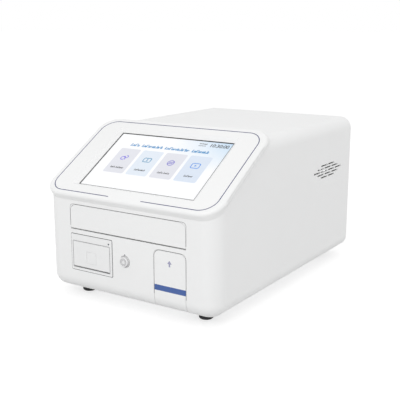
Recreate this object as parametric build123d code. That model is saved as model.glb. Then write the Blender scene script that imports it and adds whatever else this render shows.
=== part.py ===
from build123d import *
import math
import os

# A bench-top microplate reader: a moulded housing with a sloped screen hood, a plate flap
# over a motor-driven plate carrier, a ticket printer, a push button and a lamp cover.
# Millimetres, +Z up, +X to the right as seen from the front, -Y towards the user.
# The origin is on the bench, under the middle of the reader.

os.makedirs("parts", exist_ok=True)

# Body of the reader
body_width = 322.0
body_depth = 474.0
body_top = 265.0
foot_height = 15.0
wall = 3.2
corner_radius = 26.0
edge_radius = 21.0
base_sheet = 2.0
base_lip = 8.0
inner_gap = 0.4

# How far a cutting solid runs past the face that it cuts
past = 1.0

# Sloped screen hood
slope_angle = 30.9
hood_width = 335.0
hood_length = 196.1
hood_edge_height = 174.1
hood_edge_out = 8.7
hood_thickness = 14.0
hood_corner = 38.5
hood_rim_radius = 5.0
hood_skin = 3.0
hood_seat_corner = 27.0
line_inset_side = 13.9
line_inset_low = 8.6
line_inset_top = 10.0
line_corner = 26.0
line_width = 1.3
line_depth = 0.8
line_break = 62.0
line_proud = 0.1

# Screen
window_width = 219.4
window_height = 133.0
window_low = 31.7
window_recess = 5.5
window_bevel = 7.0
window_wall = 2.4
glass_margin = 6.0
module_margin = 4.0
glass_thickness = 2.0
gasket_thickness = 0.6
gasket_show = 0.8
module_thickness = 5.0
bracket_sheet = 1.2
bracket_border = 8.0
bracket_lap = 18.0
bracket_clearance = 1.0
boss_radius = 4.0

# Plate flap in the front wall
flap_width = 220.0
flap_height = 38.6
flap_bottom = 117.8
flap_corner = 11.0
seam = 0.6
flap_low_gap = 1.4
hinge_pin_radius = 0.8
hinge_pin_length = 12.0
running = 0.05

# Plate carrier, its rails and its drive
carrier_rest = 108.0
carrier_reach = 100.0
carrier_above_hinge = 17.0
carrier_height = 9.0
plate_length = 127.76
plate_depth = 85.48
plate_play = 0.6
pocket_depth = 5.5
pocket_rim = 5.0
pocket_notch = 7.0
read_ledge = 5.0
tail_thickness = 3.2
tail_overlap = 6.0
tail_window_width = 36.0
tail_border = 12.0
clip_start = 20.0
clip_length = 32.0
clip_thickness = 0.8
clip_rivet = 1.6
rail_spacing = 112.0
rail_width = 9.0
rail_height = 8.0
rail_front = 12.0
rail_spare = 6.0
runner_width = 24.0
runner_length = 24.0
runner_roof = 2.4
runner_lift = 0.6
runner_gap = 0.12
runner_pitch = 32.0
runner_end = 14.0
tray_width = 160.0
tray_sheet = 2.0
tray_front = 8.5
tray_leg_start = 110.0
tray_foot = 12.0
read_slot_length = 104.0
read_slot_width = 14.0
tray_spare = 3.0
belt_offset = 38.0
belt_width = 6.0
belt_thickness = 1.4
pulley_radius = 12.0
pulley_flange = 1.6
pulley_flange_width = 1.0
pulley_shaft_radius = 2.5
belt_gap = 0.15
belt_clearance = 6.0
belt_room = 2.0
clamp_length = 10.0
clamp_end = 12.0
clamp_lip = 1.5
clamp_side = 2.5
pulley_teeth = 36
tooth_groove = 0.5
idler_back = 25.0
motor_back = 320.0
motor_size = 42.3
motor_length = 38.0
motor_corner = 5.0
bracket_thickness = 2.5
motor_foot = 17.5
idler_side = 1.0
shaft_depth = 10.0

# Optics over the carrier
deck_height = 190.0
deck_sheet = 4.0
deck_width = 270.0
deck_front = 112.0
deck_back = 345.0
post_radius = 6.0
post_inset = 10.0
read_line = 190.0
scan_travel = 45.0
rod_radius = 4.0
rod_spacing = 34.0
rod_height = 176.0
rod_margin = 50.0
rod_bracket_width = 4.0
head_width = 46.0
head_depth = 52.0
head_bottom = 159.0
head_top = 184.0
head_corner = 3.0
lens_radius = 6.0
lens_length = 3.0
screw_radius = 3.0
screw_end = 4.0
scan_motor_size = 28.0
scan_motor_length = 26.0
scan_motor_corner = 3.0
mono_width = 150.0
mono_depth = 130.0
mono_height = 48.0
mono_lid = 3.0
mono_rim = 2.0
mono_corner = 6.0
mono_left = 95.0
mono_inset = 10.0
detector_radius = 15.0
detector_length = 62.0
detector_x = 90.0
detector_inset = 20.0
saddle_inset = 4.0

# Ticket printer
printer_left = -110.0
printer_width = 82.9
printer_bottom = 50.4
printer_height = 58.6
printer_proud = 0.6
bezel_flange = 2.0
bezel_corner = 2.0
lid_left_margin = 3.9
lid_right_margin = 5.1
lid_low_margin = 5.4
lid_top_margin = 11.6
lid_thickness = 3.2
lid_low_gap = 1.5
tongue_size = 19.5
tongue_groove = 0.5
tongue_drop = 3.0
bucket_wall = 1.6
bucket_lap = 1.0
bucket_depth = 56.0
roll_radius = 19.0
roll_width = 57.0
core_radius = 6.5
spindle_gap = 0.1
roll_back = 36.0
roll_lift = 1.0
platen_radius = 4.5
platen_shaft_radius = 1.5
platen_back = 8.0
platen_drop = 7.0
platen_ear = 2.0
platen_gap = 0.3
print_gap = 1.3
print_head_depth = 8.0
print_head_bevel = 0.8
indicator_size = 2.4
indicator_drop = 1.0
indicator_depth = 2.0
indicator_proud = 0.2

# Round push button
button_x = -2.2
button_z = 80.0
button_ring_radius = 9.0
button_barrel_radius = 8.7
button_ring_inner = 8.0
button_gap = 0.3
button_dish_radius = 3.4
button_dish_depth = 0.6
button_barrel = 14.0
button_proud = 4.0
button_ring_proud = 1.2
button_ring_edge = 0.5
button_edge = 0.8
button_travel = 2.0
button_rest_gap = 0.5
switch_depth = 16.0
light_rise = 10.4
light_radius = 0.9
light_length = 8.0
light_proud = 0.2

# Lamp cover at the right lower corner
cover_left = 53.6
cover_width = 56.4
cover_top = 108.8
cover_corner = 10.0
cover_thickness = 3.2
cover_hinge_back = 2.0
band_low = 46.6
band_height = 8.8
band_thickness = 0.3
bay_wall = 1.6
bay_depth = 72.0
bay_floor = 44.0
bay_ceiling = 104.0
latch_width = 12.0
latch_depth = 14.0
latch_height = 4.0
lamp_radius = 14.0
lamp_length = 34.0
fin_count = 6
fin_thickness = 1.6
fin_height = 22.0
lamp_border = 4.0
tab_width = 10.0
tab_length = 8.0

# Side vents
vent_rows = (2, 3, 4, 3, 2)
vent_slot = 27.0
vent_slot_height = 2.6
vent_pitch = 29.6
vent_row_pitch = 5.2
vent_back = 375.0
vent_height = 180.0

# Rear panel and what it carries
rear_recess = 6.0
rear_sheet = 1.6
rear_gap = 0.3
rear_flange = 14.0
fan_x = 92.0
fan_z = 150.0
fan_size = 80.0
fan_depth = 25.0
fan_bore = 38.0
fan_hub = 15.0
fan_blades = 7
fan_corner = 4.0
fan_arm = 4.0
fan_plate = 3.0
fan_stub = 3.0
fan_front_gap = 1.5
fan_cap = 3.0
blade_pitch = 35.0
blade_gap = 1.2
blade_thickness = 2.0
guard_rings = 4
guard_bar = 1.8
guard_thickness = 1.6
guard_margin = 3.0
inlet_x = -105.0
inlet_z = 62.0
inlet_width = 27.0
inlet_height = 20.0
inlet_depth = 24.0
inlet_flange = 4.0
inlet_plate = 2.0
inlet_corner = 3.0
inlet_wall = 1.75
inlet_bevel = 4.0
inlet_socket = 16.0
pin_width = 2.0
pin_height = 4.0
pin_spread = 7.0
pin_drop = 2.0
pin_rise = 2.5
pin_recess = 4.0
rocker_x = -78.0
rocker_width = 13.0
rocker_height = 19.0
rocker_depth = 20.0
rocker_tilt = 7.0
rocker_gap = 0.5
rocker_wall = 1.5
rocker_rim = 2.0
rocker_plate = 1.6
rocker_corner = 1.5
rocker_proud = 2.6
rocker_end = 1.5
rocker_root = 6.0
ports_x = -105.0
ports_z = 112.0
ports_width = 64.0
ports_height = 18.0
ports_depth = 14.0
ports_rim = 3.0
ports_flange = 2.0
port_socket = 9.0
network_port = (12.0, 8.0)
serial_port = (18.0, 7.0)
flat_port = (4.8, 10.0)
port_gap = 4.5

# Electronics and fasteners
board_width = 100.0
board_depth = 100.0
board_sheet = 1.6
board_x = 92.0
board_back = 405.0
standoff_height = 10.0
standoff_radius = 3.0
processor_size = 28.0
processor_height = 2.5
memory_size = 14.0
memory_height = 2.0
memory_gap = 12.0
socket_count = 4
socket_pitch = 20.0
socket_width = 14.0
socket_depth = 10.0
socket_height = 9.0
board_border = 6.0
supply_width = 64.0
supply_depth = 88.0
supply_height = 42.0
supply_x = -112.0
supply_back = 394.0
louvre_count = 6
louvre_pitch = 12.0
louvre_width = 4.0
louvre_length = 42.0
louvre_depth = 1.2
screw_head_radius = 3.2
screw_head_height = 1.8
screw_shank_radius = 1.5
screw_socket = 1.1
screw_length = 5.0
base_screws = 3
foot_x = 116.0
foot_front = 45.8
foot_rear = 437.0
foot_radius = 11.0
foot_top_radius = 12.5
foot_edge = 1.5

# Places that follow from the sizes above
angle = math.radians(slope_angle)
hood_lean = math.atan2(
    hood_edge_out * math.cos(angle), hood_thickness - hood_edge_out * math.sin(angle)
)
rim_reach = (math.cos(angle) + math.sin(hood_lean)) / math.cos(angle - hood_lean)
hood_overhang = hood_edge_out + hood_rim_radius * (1 - rim_reach)
front_y = (hood_overhang - body_depth) / 2
rear_y = front_y + body_depth
inside_bottom = foot_height + wall
base_top = inside_bottom + base_sheet
half_width = body_width / 2
hood_y = front_y - hood_edge_out
hinge_y = front_y + wall / 2
flap_hinge_z = flap_bottom + wall / 2
carrier_bottom = flap_hinge_z + carrier_above_hinge
carrier_width = plate_length + 2 * plate_play + 2 * pocket_rim
carrier_depth = plate_depth + 2 * plate_play + 2 * pocket_rim
carrier_front = front_y + carrier_rest
carrier_back = carrier_front + carrier_depth
carrier_travel = carrier_rest + carrier_reach
runner_stop = runner_end + runner_pitch + runner_length / 2
tail_back = front_y + rail_front + rail_spare + carrier_travel + runner_stop
rail_top = carrier_bottom - runner_roof - runner_gap
tray_top = rail_top - rail_height
rail_back = tail_back + rail_spare
tray_back = rail_back + tray_spare
belt_axis_z = carrier_bottom - belt_clearance - belt_thickness - pulley_radius
clamp_y = tail_back - clamp_end
idler_y = front_y + idler_back
motor_y = front_y + motor_back
read_y = front_y + read_line
rod_end = scan_travel + head_width / 2 + rod_margin
cover_hinge_y = front_y + edge_radius + cover_hinge_back
cover_hinge_z = foot_height + cover_thickness / 2
lid_left = printer_left + lid_left_margin
lid_right = printer_left + printer_width - lid_right_margin
lid_bottom = printer_bottom + lid_low_margin
lid_top = printer_bottom + printer_height - lid_top_margin
lid_face_y = front_y - printer_proud
lid_hinge_y = lid_face_y + lid_thickness / 2
lid_hinge_z = lid_bottom + lid_thickness / 2
rear_panel_y = rear_y - rear_recess - rear_sheet
base_half = half_width - edge_radius - inner_gap
base_front = front_y + edge_radius + inner_gap
opening_half = half_width - edge_radius - base_lip
opening_front = front_y + edge_radius + base_lip
cover_right = cover_left + cover_width
printer_right = printer_left + printer_width
printer_top = printer_bottom + printer_height
bezel_back = lid_face_y + lid_thickness + bucket_lap
bucket_back = bezel_back + bucket_depth
bucket_left = printer_left + bezel_flange + inner_gap
bucket_right = printer_right - bezel_flange - inner_gap
bucket_low = printer_bottom + bezel_flange + inner_gap
bucket_high = printer_top - bezel_flange - inner_gap
platen_y = lid_hinge_y + platen_back
platen_z = lid_top - platen_drop
printer_x = (lid_left + lid_right) / 2
roll_y = front_y + roll_back
roll_z = bucket_low + bucket_wall + roll_lift + roll_radius
deck_top = deck_height + deck_sheet
fan_front = rear_panel_y - fan_depth


def block(x0, x1, y0, y1, z0, z1):
    """A box between two corners."""
    centre = Pos((x0 + x1) / 2, (y0 + y1) / 2, (z0 + z1) / 2)
    return centre * Box(x1 - x0, y1 - y0, z1 - z0)


def rod(start, direction, radius, length):
    """A round bar from its start point along one direction."""
    place = Plane(origin=start, z_dir=direction)
    return place * Cylinder(radius, length, align=(Align.CENTER, Align.CENTER, Align.MIN))


def facing(y):
    """The plane of the front wall at one depth, seen from the front, with Z up."""
    return Plane(origin=(0, y, 0), x_dir=(1, 0, 0), z_dir=(0, -1, 0))


def slope(height):
    """The plane of the hood's face, lifted by a height along its normal."""
    lift = (-height * math.sin(angle), height * math.cos(angle))
    return Plane(
        origin=(0, hood_y + lift[0], hood_edge_height + lift[1]),
        x_dir=(1, 0, 0),
        z_dir=(0, -math.sin(angle), math.cos(angle)),
    )


def slope_outline(width, low, high, corner):
    """A rectangle on the slope from one height along it to another."""
    shape = Pos(0, (low + high) / 2) * Rectangle(width, high - low)
    return fillet(shape.vertices(), corner) if corner else shape


def slope_slab(width, low, high, corner, top, bottom):
    """A flat slab on the slope between two levels under the hood's face."""
    return extrude(slope(-top) * slope_outline(width, low, high, corner), amount=top - bottom)


def tall_panel(x0, x1, z0, z1, corner, y0, y1):
    """An upright plate with square lower corners and rounded upper ones."""
    shape = Pos((x0 + x1) / 2, (z0 + z1) / 2) * Rectangle(x1 - x0, z1 - z0)
    if corner:
        shape = fillet(shape.vertices().group_by(Axis.Y)[-1], corner)
    return extrude(facing(y1) * shape, amount=y1 - y0)


def mirrored_pair(shape):
    return shape + mirror(shape, about=Plane.YZ)


def save(name, shape):
    shape.label = name
    export_step(shape, f"parts/{name}.step")


def body_block(inset):
    """The reader's body as one rounded block, inset evenly from its outer faces."""
    x = half_width - inset
    y0 = front_y + inset
    y1 = rear_y + (past if inset else 0.0)
    shape = block(-x, x, y0, y1, foot_height + inset, body_top - inset)
    uprights = shape.edges().filter_by(Axis.Z).group_by(Axis.Y)[0]
    shape = fillet(uprights, corner_radius - inset)
    levels = shape.edges().group_by(Axis.Z)
    rims = [edge for edge in levels[0] + levels[-1] if edge.center().Y < y1 - past / 2]
    return fillet(rims, edge_radius - inset)


def above_slope(level):
    """Everything in front of the slope at one level, as a cutting block."""
    reach = body_width + body_depth
    return extrude(slope(level) * Rectangle(2 * reach, 2 * reach), amount=reach)


def seat_span(level):
    """Where the body's front face and top meet the slope at one level."""
    low = (front_y - hood_y + level * math.sin(angle)) / math.cos(angle)
    high = (body_top - hood_edge_height - level * math.cos(angle)) / math.sin(angle)
    return low, high


def hood_form(shrink, top):
    """The hood's outer form, or its hollow when it is shrunk by the skin."""
    low, high = seat_span(-hood_thickness)
    face = slope_outline(
        hood_width - 2 * shrink, shrink, hood_length - shrink, hood_corner - shrink
    )
    seat = slope_outline(
        body_width - 2 * shrink, low + shrink, high - shrink, hood_seat_corner - shrink
    )
    return loft([slope(-top) * face, slope(-hood_thickness) * seat], ruled=True)


def window_form(extra):
    """The screen window: a bevelled opening down to the glass."""
    mid = window_low + window_height / 2
    outer = Pos(0, mid) * Rectangle(
        window_width + 2 * (window_bevel + extra), window_height + 2 * (window_bevel + extra)
    )
    inner = Pos(0, mid) * Rectangle(window_width + 2 * extra, window_height + 2 * extra)
    return loft([slope(0) * outer, slope(-window_recess) * inner], ruled=True)


def housing_shell():
    outer = body_block(0) - above_slope(-hood_thickness)
    hollow = body_block(wall) - above_slope(-hood_thickness - wall)
    shape = outer - hollow
    border = glass_margin + bracket_border + bracket_clearance
    shape -= slope_slab(
        window_width + 2 * border,
        window_low - border,
        window_low + window_height + border,
        0,
        hood_thickness - past,
        hood_thickness + 2 * wall,
    )
    shape -= block(
        -opening_half, opening_half, opening_front, rear_panel_y - base_lip, 0, inside_bottom
    )
    shape -= flap_opening()
    shape -= cover_opening()
    shape -= printer_opening()
    shape -= rod((button_x, front_y - wall, button_z), (0, 1, 0), button_barrel_radius, 3 * wall)
    shape -= status_rod(3 * wall)
    shape -= mirrored_pair(vent_slots())
    shape -= pins(hinge_pin_radius)
    shape -= base_screw_shanks()
    return shape


def flap_opening():
    return tall_panel(
        -flap_width / 2 - seam,
        flap_width / 2 + seam,
        flap_bottom - flap_low_gap,
        flap_bottom + flap_height + seam,
        flap_corner + seam,
        front_y - wall,
        front_y + 2 * wall,
    )


def cover_prism(extra, back):
    return tall_panel(
        cover_left - extra,
        cover_right + extra,
        0,
        cover_top + extra,
        cover_corner + extra,
        front_y - past,
        back,
    )


def cover_opening():
    return cover_prism(seam, cover_hinge_y + cover_thickness / 2 + seam)


def printer_opening():
    edge = bezel_flange
    return block(
        printer_left + edge,
        printer_right - edge,
        front_y - wall,
        front_y + 2 * wall,
        printer_bottom + edge,
        printer_top - edge,
    )


def vent_slots():
    """Staggered rows of short slots through the right side wall."""
    side = Plane(origin=(half_width + past, 0, 0), x_dir=(0, 1, 0), z_dir=(1, 0, 0))
    slot = SlotOverall(vent_slot, vent_slot_height)
    slots = Part()
    for row, count in enumerate(vent_rows):
        z = vent_height + (row - (len(vent_rows) - 1) / 2) * vent_row_pitch
        for column in range(count):
            y = front_y + vent_back + (column - (count - 1) / 2) * vent_pitch
            slots += extrude(side * Pos(y, z) * slot, amount=-wall - 2 * past)
    return slots


def pin_places():
    """Each hinge axis's height, depth and the two ends of the piece that turns on it."""
    return (
        (hinge_y, flap_hinge_z, -flap_width / 2, flap_width / 2),
        (cover_hinge_y, cover_hinge_z, cover_left, cover_right),
        (lid_hinge_y, lid_hinge_z, lid_left, lid_right),
    )


def pins(radius):
    """Short pins half in the turning piece's ends and half in what carries them."""
    shape = Part()
    for y, z, left, right in pin_places():
        for x in (left, right):
            shape += rod((x - hinge_pin_length / 2, y, z), (1, 0, 0), radius, hinge_pin_length)
    return shape


def screen_hood():
    shape = hood_form(0, 0)
    face = shape.faces().sort_by(lambda f: f.center().dot(slope(0).z_dir))[-1]
    shape = fillet(face.edges(), hood_rim_radius)
    shape -= hood_form(hood_skin, hood_skin)
    shape += window_form(window_wall) - above_slope(0)
    shape -= window_form(0)
    for x, v in bracket_corners():
        boss = slope(-hood_skin) * Pos(x, v) * Circle(boss_radius)
        shape += extrude(boss, amount=hood_skin - bracket_level())
    return shape - accent_ring(line_depth, 0)


def bracket_level():
    """How far the display bracket's front lies under the hood's face."""
    return window_recess + gasket_thickness + glass_thickness + module_thickness


def bracket_corners():
    """The four places where the display bracket is fixed to the hood's bosses."""
    reach = glass_margin + bracket_border / 2
    x = window_width / 2 + reach
    heights = (window_low - reach, window_low + window_height + reach)
    return [(side * x, v) for side in (-1, 1) for v in heights]


def accent_ring(depth, proud):
    """The thin line round the hood, broken at the middle of its lower side."""
    half = line_width / 2
    ring = slope_outline(
        hood_width - 2 * (line_inset_side - half),
        line_inset_low - half,
        hood_length - line_inset_top + half,
        line_corner + half,
    )
    ring -= slope_outline(
        hood_width - 2 * (line_inset_side + half),
        line_inset_low + half,
        hood_length - line_inset_top - half,
        line_corner - half,
    )
    ring -= Pos(0, line_inset_low) * Rectangle(line_break, 4 * line_width)
    return extrude(slope(-depth) * ring, amount=depth + proud)


def screen_slab(margin, top, thickness):
    """A slab under the screen window, larger than it by a margin all round."""
    return slope_slab(
        window_width + 2 * margin,
        window_low - margin,
        window_low + window_height + margin,
        0,
        top,
        top + thickness,
    )


def screen_gasket():
    frame = screen_slab(window_wall, window_recess, gasket_thickness)
    return frame - screen_slab(-gasket_show, window_recess - past, gasket_thickness + 2 * past)


def touch_glass():
    return screen_slab(glass_margin, window_recess + gasket_thickness, glass_thickness)


def display_module():
    top = window_recess + gasket_thickness + glass_thickness
    return screen_slab(module_margin, top, module_thickness)


def display_bracket():
    sheet = screen_slab(glass_margin + bracket_border, bracket_level(), bracket_sheet)
    return sheet - screen_slab(-bracket_lap, bracket_level() - past, bracket_sheet + 2 * past)


def plate_flap():
    shape = tall_panel(
        -flap_width / 2,
        flap_width / 2,
        flap_hinge_z,
        flap_bottom + flap_height,
        flap_corner,
        front_y,
        front_y + wall,
    )
    shape += rod((-flap_width / 2, hinge_y, flap_hinge_z), (1, 0, 0), wall / 2, flap_width)
    return shape - pins(hinge_pin_radius + running)


def lamp_cover():
    skin = body_block(0) - body_block(cover_thickness)
    shape = skin & cover_prism(0, cover_hinge_y)
    start = (cover_left, cover_hinge_y, cover_hinge_z)
    shape += rod(start, (1, 0, 0), cover_thickness / 2, cover_width)
    return shape - pins(hinge_pin_radius + running)


def cover_band():
    """The band across the cover, a thin strip in a recess of its own depth."""
    return block(
        cover_left,
        cover_right,
        front_y,
        front_y + band_thickness,
        band_low,
        band_low + band_height,
    )


def base_plate():
    shape = block(
        -base_half, base_half, base_front, rear_panel_y, inside_bottom, base_top
    )
    corners = shape.edges().filter_by(Axis.Z).group_by(Axis.Y)[0]
    shape = fillet(corners, corner_radius - edge_radius)
    shape += block(
        -base_half,
        base_half,
        rear_panel_y - base_sheet,
        rear_panel_y,
        inside_bottom,
        base_top + rear_flange,
    )
    shape -= block(
        cover_left - 2 * seam,
        cover_right + 2 * seam,
        base_front - past,
        cover_hinge_y + cover_thickness,
        inside_bottom - past,
        base_top + past,
    )
    return shape - base_screw_shanks()


def foot(x, y):
    """A rubber foot, pushed into the base by its plug."""
    pad = Pos(x, y, foot_height / 2) * Cone(foot_radius, foot_top_radius, foot_height)
    pad = chamfer(pad.edges().group_by(Axis.Z)[0], foot_edge)
    return pad + rod((x, y, foot_height), (0, 0, 1), foot_radius / 2, wall)


def feet():
    return mirrored_pair(foot(foot_x, front_y + foot_front) + foot(foot_x, front_y + foot_rear))


def screw(place, direction, into):
    """A pan-head screw with a hexagon socket; direction points out of the head."""
    plane = Plane(origin=place, z_dir=direction)
    base = (Align.CENTER, Align.CENTER, Align.MIN)
    head = Cylinder(screw_head_radius, screw_head_height, align=base)
    floor = Pos(0, 0, screw_head_height / 3)
    head -= extrude(floor * RegularPolygon(screw_socket, 6), amount=screw_head_height)
    shank = Cylinder(screw_shank_radius, into, align=(Align.CENTER, Align.CENTER, Align.MAX))
    return plane * (head + shank)


def base_screw_places():
    """A row of screws up each side, through the housing's lip into the base plate."""
    x = opening_half + base_lip / 2
    first = base_front + 2 * base_lip
    step = (rear_panel_y - 2 * base_lip - first) / (base_screws - 1)
    depths = [first + i * step for i in range(base_screws)]
    return [(side * x, y, foot_height) for side in (-1, 1) for y in depths]


def base_screw_shanks():
    shape = Part()
    for place in base_screw_places():
        shape += rod(place, (0, 0, 1), screw_shank_radius, wall + base_sheet)
    return shape


def rear_screw_places():
    """Three screws up each side of the rear panel."""
    x = half_width - wall - 3 * screw_head_radius
    y = rear_panel_y + rear_sheet
    low = base_top + 4 * screw_head_radius
    high = body_top - edge_radius - wall
    return [(side * x, y, z) for side in (-1, 1) for z in (low, (low + high) / 2, high)]


def case_screws():
    shape = Part()
    for place in base_screw_places():
        shape += screw(place, (0, 0, -1), wall + base_sheet)
    for place in rear_screw_places():
        shape += screw(place, (0, 1, 0), screw_length)
    return shape


def rear_panel():
    """The sheet that closes the back, with holes for the fan, inlet, switch and ports."""
    sheet = body_block(wall + rear_gap) & block(
        -half_width,
        half_width,
        rear_panel_y,
        rear_panel_y + rear_sheet,
        inside_bottom + rear_gap,
        body_top,
    )
    y0 = rear_panel_y - past
    y1 = rear_panel_y + rear_sheet + past
    sheet -= rod((fan_x, y0, fan_z), (0, 1, 0), fan_bore, y1 - y0)
    sheet -= centred(inlet_x, inlet_z, inlet_width, inlet_height, y0, y1)
    sheet -= rocker_body(y0, y1)
    sheet -= ports_body(y0, y1)
    for x, y, z in rear_screw_places():
        sheet -= rod((x, y0, z), (0, 1, 0), screw_shank_radius, y1 - y0)
    return sheet


def centred(x, z, width, height, y0, y1):
    """A block centred on a point of an upright plane."""
    return block(x - width / 2, x + width / 2, y0, y1, z - height / 2, z + height / 2)


def plate_carrier():
    """The tray that takes the plate, with a read window, and its tail over the runners."""
    half = carrier_width / 2
    top = carrier_bottom + carrier_height
    middle = (carrier_front + carrier_back) / 2
    shape = block(-half, half, carrier_front, carrier_back, carrier_bottom, top)
    shape = fillet(shape.edges().filter_by(Axis.Z), pocket_rim)
    x = plate_length / 2 + plate_play
    y = plate_depth / 2 + plate_play
    shape -= block(-x, x, middle - y, middle + y, top - pocket_depth, top + past)
    x -= read_ledge
    y -= read_ledge
    window = block(-x, x, middle - y, middle + y, carrier_bottom - past, top)
    shape -= fillet(window.edges().filter_by(Axis.Z), pocket_rim)
    for side in (-half, half):
        shape -= rod((side, middle, carrier_bottom), (0, 0, 1), pocket_notch, carrier_height)
    return shape + carrier_tail()


def carrier_tail():
    """The flat tail behind the tray, lightened between the runners."""
    half = (rail_spacing + runner_width) / 2
    top = carrier_bottom + tail_thickness
    tail = block(-half, half, carrier_back - tail_overlap, tail_back, carrier_bottom, top)
    return tail - block(
        -tail_window_width / 2,
        tail_window_width / 2,
        carrier_back + tail_border,
        tail_back - tail_border,
        carrier_bottom,
        top,
    )


def plate_clip():
    """A spring leaf riveted on the rear rim, which holds the plate down."""
    top = carrier_bottom + carrier_height
    y = carrier_back - pocket_rim / 2
    half = pocket_rim / 2 - inner_gap
    end = clip_start + clip_length
    leaf = block(clip_start, end, y - half, y + half, top, top + clip_thickness)
    rivet = (clip_start + 2 * clip_rivet, y, top + clip_thickness)
    return leaf + rod(rivet, (0, 0, 1), clip_rivet, clip_thickness)


def runner_places():
    """The middle of each runner block along its rail."""
    depths = [tail_back - runner_end - i * runner_pitch for i in (0, 1)]
    return [(side * rail_spacing / 2, y) for side in (-1, 1) for y in depths]


def carrier_runners():
    shape = Part()
    for x, y in runner_places():
        shape += block(
            x - runner_width / 2,
            x + runner_width / 2,
            y - runner_length / 2,
            y + runner_length / 2,
            tray_top + runner_lift,
            carrier_bottom,
        )
    gap = runner_gap
    for sx in (-1, 1):
        x = sx * rail_spacing / 2
        shape -= block(
            x - rail_width / 2 - gap,
            x + rail_width / 2 + gap,
            carrier_back,
            tail_back,
            tray_top,
            rail_top + gap,
        )
    return shape


def carrier_rails():
    x = rail_spacing / 2
    rail = block(
        x - rail_width / 2, x + rail_width / 2, front_y + rail_front, rail_back, tray_top, rail_top
    )
    return mirrored_pair(rail)


def transport_tray():
    """The flat sheet under the rails, with slots for the belt and the light path."""
    half = tray_width / 2
    low = tray_top - tray_sheet
    shape = block(-half, half, front_y + tray_front, tray_back, low, tray_top)
    length = read_slot_length / 2
    width = read_slot_width / 2
    slot = block(-length, length, read_y - width, read_y + width, low - past, tray_top + past)
    shape -= fillet(slot.edges().filter_by(Axis.Z), width - past)
    return shape - belt_slot()


def tray_legs():
    """A bent bracket down each side of the tray, with its foot on the base plate."""
    half = tray_width / 2
    front = front_y + tray_leg_start
    leg = block(half - tray_sheet, half, front, tray_back, base_top, tray_top - tray_sheet)
    leg += block(half - tray_foot, half, front, tray_back, base_top, base_top + tray_sheet)
    return mirrored_pair(leg)


def belt_slot():
    """The slot in the tray that the idler pulley and the belt stand up in."""
    reach = pulley_radius + pulley_flange + belt_room
    half = belt_width / 2 + pulley_flange_width + idler_side
    return block(
        belt_offset - half,
        belt_offset + half,
        idler_y - reach,
        idler_y + reach,
        tray_top - tray_sheet - past,
        tray_top + past,
    )


def belt_loop(radius, width):
    plane = Plane(
        origin=(belt_offset - width / 2, (idler_y + motor_y) / 2, belt_axis_z),
        x_dir=(0, 1, 0),
        z_dir=(1, 0, 0),
    )
    return extrude(plane * SlotCenterToCenter(motor_y - idler_y, 2 * radius), amount=width)


def drive_belt():
    inner = pulley_radius + belt_gap
    return belt_loop(inner + belt_thickness, belt_width) - belt_loop(inner, belt_width)


def belt_clamp():
    """A jaw under the carrier's tail that holds the belt's upper run."""
    belt_bottom = belt_axis_z + pulley_radius + belt_gap
    half = belt_width / 2 + clamp_side
    jaw = block(
        belt_offset - half,
        belt_offset + half,
        clamp_y - clamp_length / 2,
        clamp_y + clamp_length / 2,
        belt_bottom - clamp_lip - belt_gap,
        carrier_bottom,
    )
    half = belt_width / 2 + belt_gap
    return jaw - block(
        belt_offset - half,
        belt_offset + half + clamp_side,
        clamp_y - clamp_length,
        clamp_y + clamp_length,
        belt_bottom - belt_gap,
        belt_bottom + belt_thickness + belt_gap,
    )


def pulley(y, bore, toothed):
    half = belt_width / 2
    wheel = rod((belt_offset - half, y, belt_axis_z), (1, 0, 0), pulley_radius, belt_width)
    if toothed:
        for i in range(pulley_teeth):
            turn = 2 * math.pi * i / pulley_teeth
            place = (
                belt_offset - half,
                y + pulley_radius * math.cos(turn),
                belt_axis_z + pulley_radius * math.sin(turn),
            )
            groove = Plane(origin=place, x_dir=(0, math.cos(turn), math.sin(turn)), z_dir=(1, 0, 0))
            width = 2 * tooth_groove
            wheel -= extrude(groove * Rectangle(width, width), amount=belt_width)
    for x in (belt_offset - half - pulley_flange_width, belt_offset + half):
        wheel += rod(
            (x, y, belt_axis_z), (1, 0, 0), pulley_radius + pulley_flange, pulley_flange_width
        )
    return wheel - rod(
        (belt_offset - belt_width, y, belt_axis_z), (1, 0, 0), bore, 2 * belt_width
    )


def motor_face_x():
    """The motor bracket's outer face, just inside the motor pulley."""
    return belt_offset - belt_width / 2 - pulley_flange_width - idler_side


def motor_shaft():
    start = (motor_face_x() - bracket_thickness - shaft_depth, motor_y, belt_axis_z)
    end = belt_offset + belt_width / 2 + pulley_flange_width
    return rod(start, (1, 0, 0), pulley_shaft_radius, end - start[0])


def carrier_motor():
    """A square stepping motor with chamfered corners, its shaft along X."""
    back = motor_face_x() - bracket_thickness
    plane = Plane(origin=(back, motor_y, belt_axis_z), x_dir=(0, 1, 0), z_dir=(-1, 0, 0))
    outline = Rectangle(motor_size, motor_size)
    outline = chamfer(outline.vertices(), motor_corner)
    shape = extrude(plane * outline, amount=motor_length)
    start = (back - shaft_depth - idler_side, motor_y, belt_axis_z)
    bore = rod(start, (1, 0, 0), pulley_shaft_radius + running, shaft_depth + idler_side)
    return shape - bore


def motor_bracket():
    face = motor_face_x()
    half = motor_size / 2
    plate = block(
        face - bracket_thickness,
        face,
        motor_y - half,
        motor_y + half,
        base_top,
        belt_axis_z + half,
    )
    plate += block(
        face - motor_foot,
        face,
        motor_y - half,
        motor_y + half,
        base_top,
        base_top + bracket_thickness,
    )
    hole = (face - bracket_thickness, motor_y, belt_axis_z)
    return plate - rod(hole, (1, 0, 0), 2 * pulley_shaft_radius, bracket_thickness)


def idler_pin():
    half = belt_width / 2 + pulley_flange_width + idler_side + bracket_thickness
    return rod(
        (belt_offset - half, idler_y, belt_axis_z), (1, 0, 0), pulley_shaft_radius, 2 * half
    )


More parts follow.
